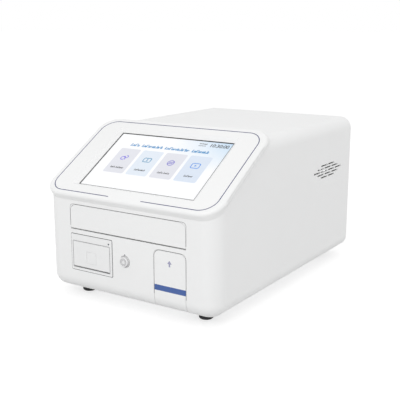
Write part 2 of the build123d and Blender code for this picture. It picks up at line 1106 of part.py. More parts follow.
def idler_bracket():
    """Two cheeks that hang from the tray and carry the idler's pin."""
    inner = belt_width / 2 + pulley_flange_width + idler_side
    shape = Part()
    for x in (belt_offset - inner - bracket_thickness, belt_offset + inner):
        shape += block(
            x,
            x + bracket_thickness,
            idler_y - 3 * pulley_shaft_radius,
            idler_y + 3 * pulley_shaft_radius,
            belt_axis_z - 3 * pulley_shaft_radius,
            tray_top - tray_sheet,
        )
    return shape - idler_pin()


def optics_deck():
    """The plate that carries the optics, with a hole over the read line."""
    half = deck_width / 2
    shape = block(
        -half, half, front_y + deck_front, front_y + deck_back, deck_height, deck_top
    )
    hole = (0, read_y, deck_height - past)
    return shape - rod(hole, (0, 0, 1), 2 * lens_radius, deck_sheet + 2 * past)


def deck_posts():
    x = deck_width / 2 - post_inset
    shape = Part()
    for y in (front_y + deck_front + post_inset, front_y + deck_back - post_inset):
        shape += rod((x, y, base_top), (0, 0, 1), post_radius, deck_height - base_top)
    return mirrored_pair(shape)


def guide_rods(radius):
    shape = Part()
    for y in (read_y - rod_spacing / 2, read_y + rod_spacing / 2):
        shape += rod((-rod_end, y, rod_height), (1, 0, 0), radius, 2 * rod_end)
    return shape


def lead_screw(radius):
    end = rod_end + rod_bracket_width
    return rod((-end, read_y, rod_height), (1, 0, 0), radius, 2 * end + screw_end)


def rod_brackets():
    """The two plates under the deck between which the guide rods are held."""
    half = head_depth / 2 + rod_radius
    low = rod_height - 3 * rod_radius
    end = rod_end + rod_bracket_width
    plate = block(rod_end, end, read_y - half, read_y + half, low, deck_height)
    return mirrored_pair(plate) - lead_screw(screw_radius + running)


def scan_motor():
    """The small stepping motor at the lead screw's end."""
    start = rod_end + rod_bracket_width
    plane = Plane(origin=(start, read_y, rod_height), x_dir=(0, 1, 0), z_dir=(1, 0, 0))
    outline = Rectangle(scan_motor_size, scan_motor_size)
    outline = chamfer(outline.vertices(), scan_motor_corner)
    shape = extrude(plane * outline, amount=scan_motor_length)
    bore = (start, read_y, rod_height)
    return shape - rod(bore, (1, 0, 0), screw_radius + running, screw_end + past)


def read_head():
    """The head that slides on the two rods, driven by the screw between them."""
    half = head_width / 2
    shape = block(
        -half, half, read_y - head_depth / 2, read_y + head_depth / 2, head_bottom, head_top
    )
    shape = fillet(shape.edges().filter_by(Axis.Z), head_corner)
    shape -= guide_rods(rod_radius + running)
    return shape - lead_screw(screw_radius + running)


def read_lens():
    return rod((0, read_y, head_bottom), (0, 0, -1), lens_radius, lens_length)


def monochromator():
    """A closed light-tight box with a stepped lid."""
    y1 = front_y + deck_back - mono_inset
    x0 = -mono_left
    x1 = x0 + mono_width
    y0 = y1 - mono_depth
    top = deck_top + mono_height
    rim = mono_rim
    shape = block(x0, x1, y0, y1, deck_top, top)
    shape = fillet(shape.edges().filter_by(Axis.Z), mono_corner)
    lid = block(x0 - rim, x1 + rim, y0 - rim, y1 + rim, top - mono_lid, top)
    return shape + fillet(lid.edges().filter_by(Axis.Z), mono_corner + rim)


def detector():
    """The light detector's tube in its saddle."""
    y = front_y + deck_back - detector_inset
    middle = (detector_x, y, deck_top + detector_radius)
    tube = rod(middle, (0, -1, 0), detector_radius, detector_length)
    saddle = block(
        detector_x - detector_radius,
        detector_x + detector_radius,
        y - detector_length + saddle_inset,
        y - saddle_inset,
        deck_top,
        deck_top + detector_radius / 2,
    )
    return tube + saddle


def printer_bezel():
    """A panel-mount frame: a flange on the housing's face and a body through its opening."""
    shape = block(
        printer_left, printer_right, lid_face_y, front_y, printer_bottom, printer_top
    )
    shape = fillet(shape.edges().filter_by(Axis.Y), bezel_corner)
    shape += block(
        printer_left + bezel_flange,
        printer_right - bezel_flange,
        front_y,
        bezel_back,
        printer_bottom + bezel_flange,
        printer_top - bezel_flange,
    )
    shape -= block(
        lid_left - seam,
        lid_right + seam,
        lid_face_y - past,
        bezel_back + past,
        lid_bottom - lid_low_gap,
        lid_top + seam,
    )
    shape -= printer_indicator()
    return shape - pins(hinge_pin_radius)


def printer_indicator():
    """The small dark window in the bezel's upper right corner."""
    x = lid_right - indicator_size / 2
    z = lid_top + lid_top_margin / 2 - indicator_drop
    return centred(
        x, z, indicator_size, indicator_size, lid_face_y - indicator_proud, lid_face_y + indicator_depth
    )


def printer_lid():
    """The lid, with ears for the platen roller and a shallow square on its face."""
    back = lid_face_y + lid_thickness
    width = lid_right - lid_left
    shape = block(lid_left, lid_right, lid_face_y, back, lid_hinge_z, lid_top)
    shape += rod((lid_left, lid_hinge_y, lid_hinge_z), (1, 0, 0), lid_thickness / 2, width)
    outer = Rectangle(tongue_size, tongue_size)
    square = outer - Rectangle(tongue_size - 2 * tongue_groove, tongue_size - 2 * tongue_groove)
    square = Pos(printer_x, (lid_bottom + lid_top) / 2 - tongue_drop) * square
    shape -= extrude(facing(lid_face_y + tongue_groove) * square, amount=past)
    reach = 2 * platen_shaft_radius
    for x in ear_places():
        shape += block(x, x + platen_ear, back, platen_y, platen_z - reach, platen_z + reach)
        shape += rod((x, platen_y, platen_z), (1, 0, 0), reach, platen_ear)
    shape -= rod((lid_left, platen_y, platen_z), (1, 0, 0), platen_shaft_radius + running, width)
    return shape - pins(hinge_pin_radius + running)


def ear_places():
    """The left side of each ear that carries the platen roller."""
    half = roll_width / 2 + platen_gap
    return printer_x - half - platen_ear, printer_x + half


def platen_roller():
    half = roll_width / 2
    roller = rod((printer_x - half, platen_y, platen_z), (1, 0, 0), platen_radius, roll_width)
    reach = half + platen_gap + platen_ear
    return roller + rod(
        (printer_x - reach, platen_y, platen_z), (1, 0, 0), platen_shaft_radius, 2 * reach
    )


def printer_bucket():
    """The open-fronted box that holds the paper roll."""
    shape = block(bucket_left, bucket_right, bezel_back, bucket_back, bucket_low, bucket_high)
    return shape - block(
        bucket_left + bucket_wall,
        bucket_right - bucket_wall,
        bezel_back - past,
        bucket_back - bucket_wall,
        bucket_low + bucket_wall,
        bucket_high - bucket_wall,
    )


def print_head():
    """The heated print bar, fixed under the bucket's roof above the platen roller."""
    half = roll_width / 2
    bar = block(
        printer_x - half,
        printer_x + half,
        platen_y,
        platen_y + print_head_depth,
        platen_z + platen_radius + print_gap,
        bucket_high - bucket_wall,
    )
    return chamfer(bar.edges().filter_by(Axis.X).group_by(Axis.Z)[0], print_head_bevel)


def paper_roll():
    half = roll_width / 2
    roll = rod((printer_x - half, roll_y, roll_z), (1, 0, 0), roll_radius, roll_width)
    return roll - rod((printer_x - half, roll_y, roll_z), (1, 0, 0), core_radius, roll_width)


def paper_spindle():
    left = bucket_left + bucket_wall
    right = bucket_right - bucket_wall
    return rod((left, roll_y, roll_z), (1, 0, 0), core_radius - spindle_gap, right - left)


def button_ring():
    """The button's flange and threaded barrel through the front wall."""
    start = (button_x, front_y - button_ring_proud, button_z)
    flange = rod(start, (0, 1, 0), button_ring_radius, button_ring_proud)
    flange = fillet(flange.edges().group_by(Axis.Y)[0], button_ring_edge)
    barrel = rod(
        (button_x, front_y, button_z), (0, 1, 0), button_barrel_radius, button_barrel
    )
    bore = rod(start, (0, 1, 0), button_ring_inner, button_ring_proud + button_barrel)
    return flange + barrel - bore


def button_cap():
    """The push cap with a shallow dish; its length leaves room for the stroke."""
    radius = button_ring_inner - button_gap
    start = (button_x, front_y - button_proud, button_z)
    length = button_proud + button_barrel - button_travel - button_rest_gap
    cap = rod(start, (0, 1, 0), radius, length)
    cap = fillet(cap.edges().group_by(Axis.Y)[0], button_edge)
    return cap - rod(start, (0, 1, 0), button_dish_radius, button_dish_depth)


def button_switch():
    start = (button_x, front_y + button_barrel, button_z)
    return rod(start, (0, 1, 0), button_barrel_radius, switch_depth)


def status_rod(length):
    """The small light above the button."""
    start = (button_x, front_y - light_proud, button_z + light_rise)
    return rod(start, (0, 1, 0), light_radius, length)


def bay_span():
    """The lamp bay's left and right outer sides."""
    return cover_left + bay_wall, cover_right - bay_wall


def lamp_bay():
    """A duct behind the cover, open to the front, on two side skirts down to the base."""
    left, right = bay_span()
    y0 = front_y + wall + seam
    shape = block(left, right, y0, y0 + bay_depth, bay_floor, bay_ceiling)
    shape -= block(
        left + bay_wall,
        right - bay_wall,
        y0 - past,
        y0 + bay_depth - bay_wall,
        bay_floor + bay_wall,
        bay_ceiling - bay_wall,
    )
    skirt_y = cover_hinge_y + 2 * cover_thickness
    for x in (left, right - bay_wall):
        shape += block(x, x + bay_wall, skirt_y, y0 + bay_depth, base_top, bay_floor)
    return shape


def lamp_cartridge():
    """The light source: a lamp barrel, a finned heat sink and a finger tab."""
    left, right = bay_span()
    x = (left + right) / 2
    y = front_y + wall + seam + bay_depth - bay_wall
    floor = bay_floor + bay_wall
    half = lamp_radius + lamp_border
    top = floor + fin_height
    barrel = rod((x, y, top + lamp_radius), (0, -1, 0), lamp_radius, lamp_length)
    sink = block(x - half, x + half, y - lamp_length, y, floor, top + lamp_border)
    pitch = (2 * half - fin_thickness) / (fin_count - 1)
    for i in range(fin_count - 1):
        slot = x - half + fin_thickness + i * pitch
        sink -= block(
            slot, slot + pitch - fin_thickness, y - lamp_length, y, floor, top - lamp_border
        )
    tab = block(
        x - tab_width / 2,
        x + tab_width / 2,
        y - lamp_length - tab_length,
        y - lamp_length,
        top,
        top + fin_thickness,
    )
    tab = fillet(tab.edges().filter_by(Axis.Z).group_by(Axis.Y)[0], tab_width / 3)
    return barrel + sink + tab


def cover_latch():
    """The push latch on the lamp bay's roof, behind the cover's top edge."""
    left, right = bay_span()
    x = (left + right) / 2
    y0 = front_y + wall + inner_gap
    half = latch_width / 2
    return block(x - half, x + half, y0, y0 + latch_depth, bay_ceiling, bay_ceiling + latch_height)


def main_board():
    """The main circuit board with its chips and a row of sockets."""
    y = front_y + board_back
    top = base_top + standoff_height + board_sheet
    left = board_x - board_width / 2
    low = y - board_depth / 2
    shape = block(left, left + board_width, low, low + board_depth, top - board_sheet, top)
    side = left + (board_width - processor_size) / 2
    front = low + (board_depth - processor_size) / 2
    shape += block(
        side, side + processor_size, front, front + processor_size, top, top + processor_height
    )
    side += processor_size + memory_gap
    shape += block(
        side, side + memory_size, front, front + memory_size, top, top + memory_height
    )
    back = low + board_depth - board_border
    for i in range(socket_count):
        x = left + board_border + standoff_radius + i * socket_pitch
        shape += block(x, x + socket_width, back - socket_depth, back, top, top + socket_height)
    return shape


def standoffs():
    """Four posts under the main board's corners."""
    x = board_width / 2 - 2 * standoff_radius
    y = board_depth / 2 - 2 * standoff_radius
    shape = Part()
    for side in (-1, 1):
        for end in (-1, 1):
            place = (board_x + side * x, front_y + board_back + end * y, base_top)
            shape += rod(place, (0, 0, 1), standoff_radius, standoff_height)
    return shape


def power_supply():
    """A steel box on the base plate with a row of louvres in its lid."""
    y0 = front_y + supply_back - supply_depth / 2
    x0 = supply_x - supply_width / 2
    top = base_top + supply_height
    shape = block(x0, x0 + supply_width, y0, y0 + supply_depth, base_top, top)
    half = louvre_length / 2
    first = y0 + (supply_depth - (louvre_count - 1) * louvre_pitch - louvre_width) / 2
    for i in range(louvre_count):
        y = first + i * louvre_pitch
        shape -= block(
            supply_x - half, supply_x + half, y, y + louvre_width, top - louvre_depth, top + past
        )
    return shape


def fan_frame():
    """A square fan housing with its hub on four arms at the outlet side."""
    shape = centred(fan_x, fan_z, fan_size, fan_size, fan_front, rear_panel_y)
    shape = fillet(shape.edges().filter_by(Axis.Y), fan_corner)
    shape -= rod((fan_x, fan_front - past, fan_z), (0, 1, 0), fan_bore, fan_depth + 2 * past)
    front = rear_panel_y - fan_plate
    reach = 2 * fan_bore + past
    arms = centred(fan_x, fan_z, reach, fan_arm, front, rear_panel_y)
    arms += centred(fan_x, fan_z, fan_arm, reach, front, rear_panel_y)
    arms += rod((fan_x, front, fan_z), (0, 1, 0), fan_hub, fan_plate)
    stub = fan_depth - fan_plate - fan_front_gap - fan_cap - past
    return shape + arms + rod((fan_x, front, fan_z), (0, -1, 0), fan_stub, stub)


def fan_rotor():
    """A hub on the frame's stub with pitched blades."""
    y0 = fan_front + fan_front_gap
    depth = fan_depth - fan_plate - fan_front_gap - blade_gap
    hub = rod((fan_x, y0, fan_z), (0, 1, 0), fan_hub, depth)
    span = fan_bore - blade_gap
    blade = Box(span, blade_thickness, 2 * depth)
    blade = Pos(span / 2, 0, 0) * Rot(blade_pitch, 0, 0) * blade
    blades = Part()
    for i in range(fan_blades):
        blades += Rot(0, 0, 360 * i / fan_blades) * blade
    blades &= Cylinder(span, depth) - Cylinder(fan_hub - past, depth)
    place = Plane(origin=(fan_x, y0 + depth / 2, fan_z), x_dir=(1, 0, 0), z_dir=(0, 1, 0))
    bore = (fan_x, y0 + fan_cap, fan_z)
    return hub + place * blades - rod(bore, (0, 1, 0), fan_stub + running, depth)


def fan_guard():
    """Flat rings on two crossed bars, over the fan's opening."""
    y0 = rear_panel_y + rear_sheet
    y1 = y0 + guard_thickness
    reach = 2 * (fan_bore + guard_margin)
    shape = centred(fan_x, fan_z, reach, guard_bar, y0, y1)
    shape += centred(fan_x, fan_z, guard_bar, reach, y0, y1)
    shape = shape.rotate(Axis((fan_x, y0, fan_z), (0, 1, 0)), 45)
    for i in range(guard_rings):
        radius = (fan_bore + guard_margin / 2) * (i + 1) / guard_rings
        ring = rod((fan_x, y0, fan_z), (0, 1, 0), radius, guard_thickness)
        ring -= rod((fan_x, y0, fan_z), (0, 1, 0), radius - guard_bar, guard_thickness)
        shape += ring
    return shape


def mains_inlet():
    """A three-pin inlet with its flange on the rear panel."""
    face = rear_panel_y + rear_sheet
    width = inlet_width
    height = inlet_height
    rim = 2 * inlet_flange
    shape = centred(inlet_x, inlet_z, width + rim, height + rim, face, face + inlet_plate)
    shape = fillet(shape.edges().filter_by(Axis.Y), inlet_corner)
    shape += centred(inlet_x, inlet_z, width, height, face - inlet_depth, face)
    width -= 2 * inlet_wall
    height -= 2 * inlet_wall
    floor = face - inlet_socket
    socket = centred(inlet_x, inlet_z, width, height, floor, face + inlet_plate + past)
    shape -= chamfer(socket.edges().filter_by(Axis.Y).group_by(Axis.Z)[-1], inlet_bevel)
    for x, z in ((-pin_spread, -pin_drop), (pin_spread, -pin_drop), (0.0, pin_rise)):
        shape += centred(
            inlet_x + x, inlet_z + z, pin_width, pin_height, floor - past, face - pin_recess
        )
    return shape


def rocker_body(y0, y1):
    """The rocker switch's body, which its hole in the rear panel takes."""
    wide = 2 * (rocker_gap + rocker_wall)
    return centred(rocker_x, inlet_z, rocker_width + wide, rocker_height + wide, y0, y1)


def rocker_frame():
    """The rocker switch's housing with its rim on the rear panel."""
    face = rear_panel_y + rear_sheet
    wide = 2 * (rocker_gap + rocker_wall + rocker_rim)
    frame = centred(
        rocker_x, inlet_z, rocker_width + wide, rocker_height + wide, face, face + rocker_plate
    )
    frame = fillet(frame.edges().filter_by(Axis.Y), rocker_corner)
    frame += rocker_body(face - rocker_depth, face)
    return frame - centred(
        rocker_x,
        inlet_z,
        rocker_width + 2 * rocker_gap,
        rocker_height + 2 * rocker_gap,
        face - rocker_depth + rocker_wall,
        face + rocker_plate + past,
    )


def rocker_switch():
    """The rocker, resting tipped to one side about its middle."""
    face = rear_panel_y + rear_sheet
    start = (rocker_x - rocker_width / 2, face, inlet_z)
    shape = rod(start, (1, 0, 0), rocker_height / 2, rocker_width)
    shape &= centred(
        rocker_x,
        inlet_z,
        rocker_width,
        rocker_height - 2 * rocker_end,
        face - rocker_root,
        face + rocker_proud,
    )
    return Pos(0, face, inlet_z) * Rot(rocker_tilt, 0, 0) * Pos(0, -face, -inlet_z) * shape


def ports_body(y0, y1):
    """The port block's body, which its hole in the rear panel takes."""
    rim = 2 * ports_rim
    return centred(ports_x, ports_z, ports_width - rim, ports_height - rim, y0, y1)


def data_ports():
    """A row of sockets: one for a network, one wide, and two flat."""
    face = rear_panel_y + rear_sheet
    shape = ports_body(face - ports_depth, face)
    shape += centred(
        ports_x, ports_z, ports_width, ports_height, rear_panel_y - ports_flange, rear_panel_y
    )
    sockets = (network_port, serial_port, flat_port, flat_port)
    left = ports_x - (sum(width for width, _ in sockets) + 3 * port_gap) / 2
    for width, height in sockets:
        x = left + width / 2
        shape -= centred(x, ports_z, width, height, face - port_socket, face + past)
        left += width + port_gap
    return shape


def build():
    """Every named piece of the reader."""
    return {
        "housing_shell": housing_shell(),
        "screen_hood": screen_hood(),
        "hood_line": accent_ring(line_depth, line_proud),
        "base_plate": base_plate(),
        "rear_panel": rear_panel(),
        "feet": feet(),
        "case_screws": case_screws(),
        "screen_gasket": screen_gasket(),
        "touch_glass": touch_glass(),
        "display_module": display_module(),
        "display_bracket": display_bracket(),
        "plate_flap": plate_flap(),
        "hinge_pins": pins(hinge_pin_radius) + idler_pin(),
        "plate_carrier": plate_carrier(),
        "plate_clip": plate_clip(),
        "carrier_runners": carrier_runners(),
        "carrier_rails": carrier_rails(),
        "transport_tray": transport_tray(),
        "tray_legs": tray_legs(),
        "drive_belt": drive_belt(),
        "belt_clamp": belt_clamp(),
        "motor_pulley": pulley(motor_y, pulley_shaft_radius, True),
        "motor_shaft": motor_shaft(),
        "idler_pulley": pulley(idler_y, pulley_shaft_radius + running, False),
        "idler_bracket": idler_bracket(),
        "carrier_motor": carrier_motor(),
        "motor_bracket": motor_bracket(),
        "optics_deck": optics_deck(),
        "deck_posts": deck_posts(),
        "guide_rods": guide_rods(rod_radius),
        "lead_screw": lead_screw(screw_radius),
        "rod_brackets": rod_brackets(),
        "scan_motor": scan_motor(),
        "read_head": read_head(),
        "read_lens": read_lens(),
        "monochromator": monochromator(),
        "detector": detector(),
        "printer_bezel": printer_bezel(),
        "printer_lid": printer_lid(),
        "platen_roller": platen_roller(),
        "printer_bucket": printer_bucket(),
        "print_head": print_head(),
        "paper_roll": paper_roll(),
        "paper_spindle": paper_spindle(),
        "button_ring": button_ring(),
        "button_cap": button_cap(),
        "button_switch": button_switch(),
        "indicator_lights": status_rod(light_length) + printer_indicator(),
        "lamp_cover": lamp_cover() - cover_band(),
        "cover_band": cover_band(),
        "lamp_bay": lamp_bay() + cover_latch(),
        "lamp_cartridge": lamp_cartridge(),
        "main_board": main_board() + standoffs(),
        "power_supply": power_supply(),
        "fan_frame": fan_frame(),
        "fan_rotor": fan_rotor(),
        "fan_guard": fan_guard(),
        "mains_inlet": mains_inlet() + rocker_frame(),
        "rocker_switch": rocker_switch(),
        "data_ports": data_ports(),
    }


for name, shape in build().items():
    save(name, shape)
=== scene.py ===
import math

import bmesh
import bpy
from mathutils import Euler, Matrix, Vector


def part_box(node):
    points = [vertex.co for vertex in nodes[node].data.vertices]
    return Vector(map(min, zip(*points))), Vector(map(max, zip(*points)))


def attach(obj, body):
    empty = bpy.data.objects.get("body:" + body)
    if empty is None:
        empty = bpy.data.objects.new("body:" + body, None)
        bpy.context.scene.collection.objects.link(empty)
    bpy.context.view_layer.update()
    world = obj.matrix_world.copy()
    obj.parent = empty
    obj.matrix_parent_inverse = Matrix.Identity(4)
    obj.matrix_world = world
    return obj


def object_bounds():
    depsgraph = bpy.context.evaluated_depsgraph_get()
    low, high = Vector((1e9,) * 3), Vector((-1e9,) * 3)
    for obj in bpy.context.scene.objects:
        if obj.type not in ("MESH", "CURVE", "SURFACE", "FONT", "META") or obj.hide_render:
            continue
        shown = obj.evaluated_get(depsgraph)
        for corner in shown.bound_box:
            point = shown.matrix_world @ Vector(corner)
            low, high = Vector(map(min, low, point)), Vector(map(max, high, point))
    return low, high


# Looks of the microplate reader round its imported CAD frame. Metres, +Z up, the user at -Y.

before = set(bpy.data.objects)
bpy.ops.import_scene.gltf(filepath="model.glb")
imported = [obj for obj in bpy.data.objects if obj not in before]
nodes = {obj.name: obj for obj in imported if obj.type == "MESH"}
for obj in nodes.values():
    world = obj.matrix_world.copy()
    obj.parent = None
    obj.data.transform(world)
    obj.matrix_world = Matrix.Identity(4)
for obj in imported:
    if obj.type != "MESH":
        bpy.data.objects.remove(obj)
cad_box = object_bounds()

MM = 0.001

# The hood's slope and the picture on its screen, in millimetres from the picture's middle
SLOPE = math.radians(30.9)
TILE_LEFTS = (-88.0, -42.0, 4.0, 50.0)
TILE_WIDTH = 40.5
TILE_LOW = -30.0
TILE_HIGH = 30.0
TILE_CORNER = 3.0
ICON_HEIGHT = 7.4
ICON_LINE = 1.5
CAPTION_HEIGHT = -16.8
CAPTION_SIZE = 4.0
TITLE_HEIGHT = 40.5
TITLE_SIZE = 6.6
TITLE_LEFT = -76.0
TITLE_WORDS = (18.0, 41.0, 47.0, 31.0)
CLOCK_LEFT = 69.0
CLOCK_HEIGHT = 54.0
CLOCK_SIZE = 8.2
CLOCK_WEIGHT = 0.2
INK_LIFT = 0.05
INK_THICKNESS = 0.03
INK_RAISE = 0.06
WORD_GAP = 1.8
TITLE_SPAN = 151.8

# The black edge round the touch panel: its border print, and painted shade of the window's
# recess
PANEL_EDGE = 1.1
PANEL_EDGE_RAISE = 0.1
PANEL_CORNER = 0.6
GASKET_RIM = 3.0

# Thin dark lines on the front, where the photograph shows gaps
# These lines are painted shade, not print.
SEAM = 0.6
GAP_LINE = 0.5
BEZEL_LINE = 0.9
LID_LINE = 0.4
FLAP_CORNER = 6.0
FLAP_LINE_FOOT = 4.0
COVER_CORNER = 9.0
COVER_LINE_FOOT = 40.0
BEZEL_CORNER = 2.0
LID_CORNER = 1.2
RING_LINE = (8.25, 0.4)
CAP_LINE = (5.4, 0.6)
DISH_LINE = (3.7, 0.5)

# The arrow on the cover
ARROW_X = 81.3
ARROW_TIP = 95.6
ARROW_BASE = 86.0
ARROW_HEAD = 4.4
ARROW_SHAFT_HALF = 1.3
ARROW_HEAD_HALF = 4.0
ARROW_THICKNESS = 0.08

# The camera stands where the photograph was taken from
CAMERA_PLACE = (0.6952, -1.08675, 0.4281)
CAMERA_DOWN = math.radians(12.94)
CAMERA_TURN = math.radians(33.31)
CAMERA_LENS = 67.7

# Light: the level of each source at the reader, as a share of a white surface's full brightness
AMBIENT = 0.81
KEY_LEVEL = 0.267
SIDE_LEVEL = 0.08
TOP_LEVEL = 0.03
LAMP_DISTANCE = 2.6
KEY_FROM = (0.25, -0.85, 0.45)
SIDE_FROM = (0.9, 0.6, 0.2)
TOP_FROM = (0.0, 0.1, 1.0)
LAMP_SIZE = 1.6
TOP_LAMP_SIZE = 2.0
FLOOR_HALF = 60.0


# Node materials

def new_material(name):
    """An empty node material with a Principled shader, and its node tree."""
    material = bpy.data.materials.new(name)
    material.use_nodes = True
    tree = material.node_tree
    shader = tree.nodes["Principled BSDF"]
    return material, tree, shader


def place_node(tree, scale):
    """The surface's own place, stretched by a scale along each axis."""
    where = tree.nodes.new("ShaderNodeTexCoord")
    mapping = tree.nodes.new("ShaderNodeMapping")
    mapping.inputs["Scale"].default_value = scale
    tree.links.new(where.outputs["Object"], mapping.inputs["Vector"])
    return mapping.outputs["Vector"]


def noise(tree, scale, detail=2.0, stretch=(1.0, 1.0, 1.0)):
    texture = tree.nodes.new("ShaderNodeTexNoise")
    texture.inputs["Scale"].default_value = scale
    texture.inputs["Detail"].default_value = detail
    tree.links.new(place_node(tree, stretch), texture.inputs["Vector"])
    return texture.outputs["Fac"]


def vary_colour(tree, shader, source, colour, spread):
    """The base colour wanders a little either side of its written value."""
    ramp = tree.nodes.new("ShaderNodeValToRGB")
    ramp.color_ramp.elements[0].position = 0.3
    ramp.color_ramp.elements[1].position = 0.7
    ramp.color_ramp.elements[0].color = shade(colour, 1.0 - spread)
    ramp.color_ramp.elements[1].color = shade(colour, 1.0 + spread)
    tree.links.new(source, ramp.inputs["Fac"])
    tree.links.new(ramp.outputs["Color"], shader.inputs["Base Color"])


def shade(colour, factor):
    return tuple(min(1.0, part * factor) for part in colour[:3]) + (1.0,)


def vary_roughness(tree, shader, source, low, high):
    spread = tree.nodes.new("ShaderNodeMapRange")
    spread.inputs["To Min"].default_value = low
    spread.inputs["To Max"].default_value = high
    tree.links.new(source, spread.inputs["Value"])
    tree.links.new(spread.outputs["Result"], shader.inputs["Roughness"])


def add_bump(tree, shader, source, depth, strength):
    bump = tree.nodes.new("ShaderNodeBump")
    bump.inputs["Distance"].default_value = depth
    bump.inputs["Strength"].default_value = strength
    tree.links.new(source, bump.inputs["Height"])
    tree.links.new(bump.outputs["Normal"], shader.inputs["Normal"])


def moulded(name, colour, roughness, grain=1500.0, depth=0.00004, spread=0.008):
    """Moulded plastic with a fine spark-eroded grain."""
    material, tree, shader = new_material(name)
    vary_colour(tree, shader, noise(tree, 9.0, 4.0), colour, spread)
    vary_roughness(tree, shader, noise(tree, 60.0, 3.0), roughness - 0.06, roughness + 0.06)
    add_bump(tree, shader, noise(tree, grain), depth, 0.5)
    return material


def metal(name, colour, roughness, stretch, spread=0.06, depth=0.00001):
    """Metal with fine marks drawn out along one direction."""
    material, tree, shader = new_material(name)
    shader.inputs["Metallic"].default_value = 1.0
    marks = noise(tree, 900.0, 3.0, stretch)
    vary_colour(tree, shader, marks, colour, spread)
    vary_roughness(tree, shader, marks, roughness - 0.08, roughness + 0.1)
    add_bump(tree, shader, marks, depth, 0.4)
    return material


def painted(name, colour, roughness):
    """Painted or anodised metal with a slight orange-peel surface."""
    material, tree, shader = new_material(name)
    vary_colour(tree, shader, noise(tree, 35.0, 4.0), colour, 0.12)
    vary_roughness(tree, shader, noise(tree, 90.0, 3.0), roughness - 0.08, roughness + 0.08)
    add_bump(tree, shader, noise(tree, 420.0), 0.00006, 0.35)
    return material


def rubber(name, colour, grain=700.0):
    material, tree, shader = new_material(name)
    vary_colour(tree, shader, noise(tree, 50.0, 5.0), colour, 0.25)
    vary_roughness(tree, shader, noise(tree, 120.0, 3.0), 0.68, 0.9)
    add_bump(tree, shader, noise(tree, grain, 3.0), 0.0001, 0.5)
    return material


def ribbed_rubber(name, colour):
    """Belt rubber with ribs across its length."""
    material, tree, shader = new_material(name)
    vary_colour(tree, shader, noise(tree, 80.0, 5.0), colour, 0.3)
    vary_roughness(tree, shader, noise(tree, 150.0, 3.0), 0.6, 0.85)
    wave = tree.nodes.new("ShaderNodeTexWave")
    wave.bands_direction = "Y"
    wave.inputs["Scale"].default_value = 160.0
    tree.links.new(place_node(tree, (1.0, 1.0, 1.0)), wave.inputs["Vector"])
    add_bump(tree, shader, wave.outputs["Fac"], 0.0004, 0.6)
    return material


def clear_glass(name, tint):
    material, tree, shader = new_material(name)
    shader.inputs["Base Color"].default_value = tint
    shader.inputs["Transmission Weight"].default_value = 1.0
    shader.inputs["IOR"].default_value = 1.45
    vary_roughness(tree, shader, noise(tree, 40.0, 4.0), 0.0, 0.02)
    return material


def lit_display(name):
    """A white picture that turns pale blue towards its upper right corner."""
    material, tree, shader = new_material(name)
    shader.inputs["Roughness"].default_value = 0.4
    shader.inputs["Emission Strength"].default_value = 0.97
    low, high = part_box("display_module")
    where = tree.nodes.new("ShaderNodeTexCoord")
    split = tree.nodes.new("ShaderNodeSeparateXYZ")
    tree.links.new(where.outputs["Object"], split.inputs["Vector"])
    across = tree.nodes.new("ShaderNodeMapRange")
    across.inputs["From Min"].default_value = 0.0
    across.inputs["From Max"].default_value = high.x
    up = tree.nodes.new("ShaderNodeMapRange")
    up.inputs["From Min"].default_value = (low.z + high.z) / 2
    up.inputs["From Max"].default_value = high.z
    both = tree.nodes.new("ShaderNodeMath")
    both.operation = "MULTIPLY"
    tree.links.new(split.outputs["X"], across.inputs["Value"])
    tree.links.new(split.outputs["Z"], up.inputs["Value"])
    tree.links.new(across.outputs["Result"], both.inputs[0])
    tree.links.new(up.outputs["Result"], both.inputs[1])
    ramp = tree.nodes.new("ShaderNodeValToRGB")
    ramp.color_ramp.elements[0].color = (0.985, 0.99, 1.0, 1.0)
    ramp.color_ramp.elements[1].color = (0.50, 0.70, 0.90, 1.0)
    tree.links.new(both.outputs["Value"], ramp.inputs["Fac"])
    tree.links.new(ramp.outputs["Color"], shader.inputs["Emission Color"])
    dark = noise(tree, 200.0)
    vary_colour(tree, shader, dark, (0.02, 0.02, 0.022), 0.2)
    return material


def screen_ink(name, colour, strength=0.95):
    """A patch of the lit picture in one hue, with the display's faint unevenness."""
    material, tree, shader = new_material(name)
    shader.inputs["Roughness"].default_value = 0.4
    shader.inputs["Emission Strength"].default_value = strength
    vary_colour(tree, shader, noise(tree, 200.0), (0.02, 0.02, 0.022), 0.2)
    ramp = tree.nodes.new("ShaderNodeValToRGB")
    ramp.color_ramp.elements[0].color = shade(colour, 0.97)
    ramp.color_ramp.elements[1].color = shade(colour, 1.02)
    tree.links.new(noise(tree, 25.0, 3.0), ramp.inputs["Fac"])
    tree.links.new(ramp.outputs["Color"], shader.inputs["Emission Color"])
    return material


def paper(name, colour):
    material, tree, shader = new_material(name)
    fibres = noise(tree, 500.0, 6.0, (0.4, 1.0, 1.0))
    vary_colour(tree, shader, fibres, colour, 0.03)
    vary_roughness(tree, shader, fibres, 0.5, 0.65)
    add_bump(tree, shader, fibres, 0.00005, 0.4)
    return material


def circuit_board(name, colour):
    """Solder mask over copper lines that run along a fine grid."""
    material, tree, shader = new_material(name)
    shader.inputs["Roughness"].default_value = 0.32
    cells = tree.nodes.new("ShaderNodeTexBrick")
    cells.inputs["Scale"].default_value = 260.0
    cells.inputs["Mortar Size"].default_value = 0.12
    cells.inputs["Color1"].default_value = shade(colour, 1.0)
    cells.inputs["Color2"].default_value = shade(colour, 1.25)
    cells.inputs["Mortar"].default_value = shade(colour, 0.55)
    tree.links.new(place_node(tree, (1.0, 1.0, 1.0)), cells.inputs["Vector"])
    tree.links.new(cells.outputs["Color"], shader.inputs["Base Color"])
    add_bump(tree, shader, cells.outputs["Fac"], 0.00005, 0.5)
    return material


WHITE = (0.865, 0.868, 0.868)

